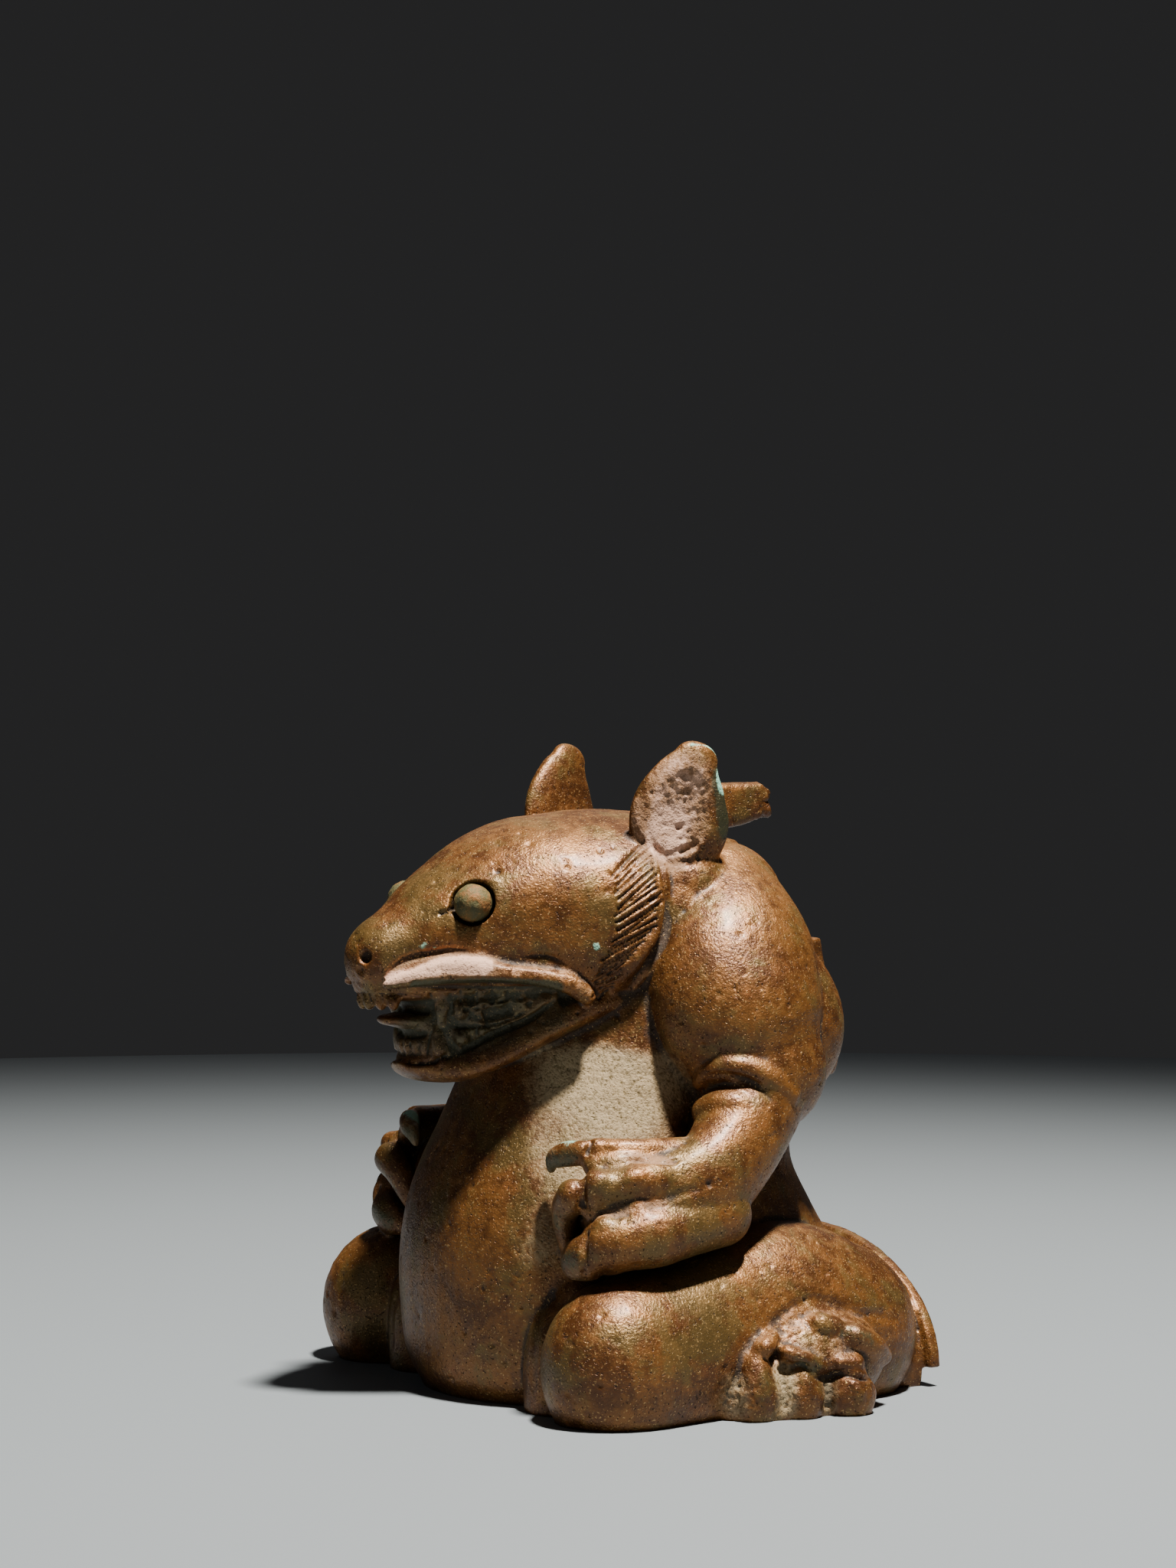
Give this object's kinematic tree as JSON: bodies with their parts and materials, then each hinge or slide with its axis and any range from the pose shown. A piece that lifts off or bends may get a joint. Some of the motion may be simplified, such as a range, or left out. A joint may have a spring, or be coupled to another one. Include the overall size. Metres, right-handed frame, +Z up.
{
  "type": "seated bear figure",
  "caption": "Squat seated bear in cast bronze with open jaws, upright ears, paws pressed to its belly, and the stumps of a broken peg and plate on its back.",
  "frame": {"origin": "centre of the figure's overall box, on the floor that it sits on", "axes": "+Z up, -Y the way the bear faces, +X its own left side"},
  "size_m": [0.1231, 0.1072, 0.1246],
  "materials": {
    "patinated_bronze": "satin brown and ochre patina with olive mottling, pink clay in the hollows and fine casting pits",
    "green_bead": "dull dark green patina"
  },
  "bodies": {
    "root": {"bear": "patinated_bronze", "eye_left": "green_bead", "eye_right": "green_bead"}
  },
  "joints": []
}
